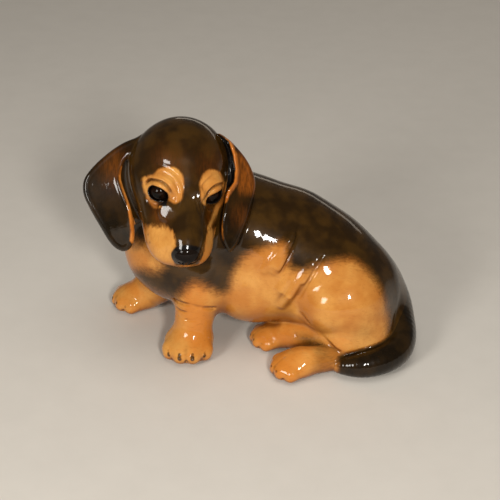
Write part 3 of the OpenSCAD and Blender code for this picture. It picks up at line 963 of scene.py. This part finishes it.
def glaze(name, tan, tan_deep, dark, dark_warm, rust):
    """Airbrushed and brushed underglaze under a clear, glossy coat."""
    p = Paint(name)
    at = p.vector("sculpt")
    stroke = p.vector("stroke")
    streaks = p.noise(stroke, 0.85, 4, 0.6)
    broad = p.noise(at, 0.045, 3, 0.5)
    mottle = p.noise(at, 0.35, 4, 0.6)
    speckle = p.noise(at, 2.6, 2, 0.5)
    # fired tan: lighter where the colour is thin, redder where it gathers in creases, and darker and redder
    # as painted shade in creases and on surfaces facing down
    body = p.mix(p.ramp(broad, 0.35, 0.65), tan, tan_deep)
    body = p.mix(p.ramp(mottle, 0.42, 0.72, 0, 0.35), body, tan_deep)
    body = p.mix(p.ramp(streaks, 0.5, 0.8, 0, 0.22), body, rust)
    body = p.mix(p.ramp(p.value("pool_and_shade"), 0.12, 0.75, 0, 0.85), body, rust)
    body = p.mix(p.ramp(p.value("ridge"), 0.25, 0.7, 0, 0.35), body, tan)
    body = p.mix(p.ramp(speckle, 0.66, 0.8, 0, 0.25), body, rust)
    # dark brown, brushed over it
    deep = p.mix(p.ramp(p.noise(at, 0.08, 2, 0.5), 0.35, 0.65), dark, dark_warm)
    brushed = p.math("MULTIPLY", p.value("ragged"), p.ramp(streaks, 0.45, 0.8, 0, 0.55))
    deep = p.mix(brushed, deep, dark)
    deep = p.mix(p.math("MULTIPLY", p.value("ruddy"), p.ramp(streaks, 0.3, 0.7, 0.35, 1)), deep, rust)
    wander = p.math("MULTIPLY_ADD", streaks, 2.4, -1.2)
    cloud = p.math("MULTIPLY_ADD", mottle, 1.6, -0.8)
    wander = p.math("MULTIPLY", p.math("ADD", wander, cloud), p.value("ragged"))
    edge = p.math("ADD", p.value("dark"), wander)
    body = p.mix(p.ramp(edge, -1.1, 0.2, 0, 0.6), body, rust)
    colour = p.mix(p.ramp(edge, -0.75, 0.75), body, deep)
    # the dark marks and the painted shade, brushed in with the dark brown
    marks_and_shade = p.math("MULTIPLY", p.value("marks_and_shade"), p.ramp(streaks, 0.2, 0.8, 0.7, 1.1))
    colour = p.mix(p.math("MINIMUM", marks_and_shade, 0.92), colour, deep)
    ink = p.math("ADD", p.value("black"), p.math("MULTIPLY_ADD", streaks, 0.8, -0.4))
    colour = p.mix(p.ramp(ink, -0.35, 0.35), colour, linear(14, 10, 8))
    height = p.math("MULTIPLY_ADD", speckle, 0.06, p.noise(at, 0.5, 2, 0.5))
    normal = p.bump(height, 0.0003, 0.15)
    p.set(Base_Color=colour, Roughness=p.ramp(mottle, 0.2, 0.8, 0.28, 0.42), Specular_IOR_Level=0.05,
          Coat_Weight=0.8, Coat_Roughness=0.04, Coat_IOR=1.42, Normal=normal, Coat_Normal=normal)
    return p.material


TAN = linear(204, 144, 70)
TAN_DEEP = linear(182, 115, 48)
RUST = linear(112, 57, 12)
DARK = linear(38, 23, 4)
DARK_WARM = linear(60, 39, 9)

GLAZES = {
    "body_glaze": glaze("body_glaze", TAN, TAN_DEEP, DARK, DARK_WARM, RUST),
    "head_glaze": glaze("head_glaze", TAN, TAN_DEEP, DARK, DARK_WARM, RUST),
    "ear_glaze": glaze("ear_glaze", linear(206, 130, 54), linear(176, 98, 32), linear(20, 12, 2),
                       linear(40, 25, 5), linear(128, 68, 16)),
    "leg_glaze": glaze("leg_glaze", TAN, linear(194, 119, 45), DARK, DARK_WARM, RUST),
    "tail_glaze": glaze("tail_glaze", TAN, TAN_DEEP, linear(20, 12, 3), linear(40, 26, 7), RUST),
}


def dark_glaze(name, ink, brown, scale):
    """Black glaze over the eyes and the nose, with a little brown in it."""
    p = Paint(name)
    at = p.vector("sculpt")
    grain = p.noise(at, scale, 3, 0.6)
    colour = p.mix(p.math("MULTIPLY", p.value("ring"), p.ramp(grain, 0.3, 0.7, 0.4, 1)), ink, brown)
    normal = p.bump(grain, 0.0004, 0.15)
    p.set(Base_Color=colour, Roughness=p.ramp(grain, 0.2, 0.8, 0.15, 0.3), Specular_IOR_Level=0.0,
          Coat_Weight=0.55, Coat_Roughness=0.03, Coat_IOR=1.34, Normal=normal)
    return p.material


GLAZES["eye_glaze"] = dark_glaze("eye_glaze", linear(8, 6, 5), linear(34, 17, 7), 1.5)
GLAZES["nose_glaze"] = dark_glaze("nose_glaze", linear(16, 11, 9), linear(40, 30, 22), 1.1)


# ---------- pieces

def piece(name, P, faces, node, slot, values, vectors, normals=None):
    mesh = bpy.data.meshes.new(name)
    placed = ((P + SHIFT) * MM).astype(np.float32)
    mesh.from_pydata(placed.tolist(), [], faces)
    mesh.polygons.foreach_set("use_smooth", [True] * len(mesh.polygons))
    for key, value in values.items():
        attribute = mesh.attributes.new(key, "FLOAT", "POINT")
        attribute.data.foreach_set("value", np.asarray(value, np.float32))
    for key, value in vectors.items():
        attribute = mesh.attributes.new(key, "FLOAT_VECTOR", "POINT")
        attribute.data.foreach_set("vector", np.asarray(value, np.float32).ravel())
    if normals is not None:
        corner = np.zeros(len(mesh.loops), np.int32)
        mesh.loops.foreach_get("vertex_index", corner)
        mesh.normals_split_custom_set(normals[corner].tolist())
    mesh.materials.append(GLAZES[slot])
    made = bpy.data.objects.new(name, mesh)
    bpy.context.scene.collection.objects.link(made)
    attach(made, "root")
    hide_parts(node)
    return made


SLOTS = {
    "torso_shell": "body_glaze", "head_shell": "head_glaze", "left_ear": "ear_glaze",
    "right_ear": "ear_glaze", "left_foreleg": "leg_glaze", "right_foreleg": "leg_glaze",
    "left_hind_foot": "leg_glaze", "right_hind_foot": "leg_glaze", "tail": "tail_glaze",
}


def make_casting():
    low, high = BOX_LOW - SHIFT - 2.5, BOX_HIGH - SHIFT + 2.5
    P, Q = meshed(casting, low, high, STEP)
    P, _ = settle(casting, P, STEP)
    label, names = labels_of(P[Q].mean(1))
    P = tidy_borders(casting, P, Q, label, STEP)
    P, N = settle(casting, P, STEP, 1)
    owner = np.zeros(len(P), int)
    owner[Q.ravel()] = label.repeat(4)
    for index, node in enumerate(names):
        mine = Q[label == index]
        used, inverse = np.unique(mine.ravel(), return_inverse=True)
        quads = inverse.reshape(-1, 4)
        points, normals = P[used], N[used]
        values, stroke = painted(points, normals, np.full(len(used), index), names)
        extra, lids_of_cap = cap(points, loops_of(quads))
        count = len(extra)
        values = {key: np.append(value, np.zeros(count)) for key, value in values.items()}
        everything = np.concatenate([points, extra])
        blank = np.zeros((count, 3))
        piece("puppy_" + node, everything, quads.tolist() + lids_of_cap, node, SLOTS[node], values,
              {"sculpt": everything, "stroke": np.concatenate([stroke, blank])},
              np.concatenate([normals, blank]))


def make_eye(side, node):
    """An eyeball with a slightly proud cornea and a flat back."""
    rings, sectors = 28, 48
    centre = HEAD + HEAD_AXES @ (EYE * vec(1, side, 1))
    axis = HEAD_AXES @ unit([1, side * 0.55, 0.12])
    across = unit(np.cross(axis, [0, 0, 1]))
    up = np.cross(across, axis)
    theta = np.linspace(0, math.pi, rings + 1)[1:-1]
    phi = np.arange(sectors) * 2 * math.pi / sectors
    bulge = EYE_RADIUS - 0.25 + 0.25 * hump(theta, 0, 0.6)
    x = (bulge * np.sin(theta))[:, None] * np.cos(phi)
    y = (bulge * np.sin(theta))[:, None] * np.sin(phi)
    z = np.maximum(bulge * np.cos(theta), -2.5)[:, None] + 0 * x
    x, y, z = (np.concatenate([[end[0]], g.ravel(), [end[1]]])
               for g, end in ((x, (0, 0)), (y, (0, 0)), (z, (EYE_RADIUS, -2.5))))
    P = centre + x[:, None] * across + y[:, None] * up + z[:, None] * axis
    faces = [(0, 1 + (j + 1) % sectors, 1 + j) for j in range(sectors)]
    for i in range(rings - 2):
        for j in range(sectors):
            a, b = 1 + i * sectors + j, 1 + i * sectors + (j + 1) % sectors
            faces.append((a, b, b + sectors, a + sectors))
    end = len(P) - 1
    base = end - sectors
    faces += [(end, base + j, base + (j + 1) % sectors) for j in range(sectors)]
    r = np.sqrt(x * x + y * y)
    ring = hump(r, 4.1, 1.1) * (z > 0)
    piece("puppy_" + node, P, faces, node, "eye_glaze", {"ring": ring}, {"sculpt": P})


def make_nose():
    low = HEAD + HEAD_AXES @ vec(64, 0, -3) - 12
    P, Q = meshed(nose, low, low + 24, 0.45 if FINE else 0.7)
    P, N = settle(nose, P, 0.45)
    q, s = in_head(P)
    piece("puppy_nose_pad", P, Q.tolist(), "nose_pad", "nose_glaze",
          {"ring": 0.35 * smooth(s[:, 2], -2, 4)}, {"sculpt": P}, N)


make_casting()
make_eye(1, "left_eye")
make_eye(-1, "right_eye")
make_nose()


# ---------- floor, light and camera

def make_stage():
    p = Paint("paper")
    where = p.node("TexCoord").outputs["Object"]
    grain = p.noise(where, 40, 4, 0.6)
    p.set(Base_Color=p.mix(grain, linear(206, 200, 191), linear(214, 208, 199)), Roughness=0.75)
    side = 4
    mesh = bpy.data.meshes.new("floor")
    mesh.from_pydata([(-side, -side, 0), (side, -side, 0), (side, side, 0), (-side, side, 0)], [],
                     [(0, 1, 2, 3)])
    mesh.materials.append(p.material)
    floor = bpy.data.objects.new("floor", mesh)
    bpy.context.scene.collection.objects.link(floor)


def softbox(name, direction, distance, size, power, colour, reflected=True):
    light = bpy.data.lights.new(name, "AREA")
    light.shape = "RECTANGLE"
    light.size, light.size_y = size
    light.energy = power
    light.color = colour
    made = bpy.data.objects.new(name, light)
    bpy.context.scene.collection.objects.link(made)
    aim = Vector((0, 0, 0.06))
    made.location = aim + Vector(direction).normalized() * distance
    made.rotation_euler = (aim - made.location).to_track_quat("-Z", "Y").to_euler()
    made.visible_glossy = reflected


def make_camera():
    data = bpy.data.cameras.new("camera")
    data.lens, data.sensor_width = 98.2, 36
    camera = bpy.data.objects.new("camera", data)
    bpy.context.scene.collection.objects.link(camera)
    target = Vector((vec(0, -5, 66) + SHIFT) * MM)
    elevation, distance = math.radians(30), 0.9
    back = Vector((0, -math.cos(elevation), math.sin(elevation)))
    camera.location = target + back * distance
    camera.rotation_euler = (-back).to_track_quat("-Z", "Y").to_euler()
    bpy.context.scene.camera = camera


def make_light():
    world = bpy.data.worlds.new("studio")
    world.use_nodes = True
    world.node_tree.nodes["Background"].inputs["Color"].default_value = (1, 0.95, 0.88, 1)
    world.node_tree.nodes["Background"].inputs["Strength"].default_value = 0.1
    bpy.context.scene.world = world
    softbox("key", (0.18, -0.86, 0.46), 1.3, (0.14, 0.2), 10, (1, 0.97, 0.92))
    softbox("side", (-0.55, -0.72, 0.42), 1.2, (0.3, 0.34), 6.8, (1, 0.97, 0.92))
    softbox("overhead", (0.1, -0.1, 1), 1.6, (1.2, 1.2), 9, (1, 0.97, 0.92), False)
    softbox("horizon", (0.3, 1, 0.25), 1.8, (1.6, 0.2), 1.4, (1, 0.86, 0.7))
    bpy.context.scene.view_settings.view_transform = "Standard"


make_stage()
make_light()
make_camera()
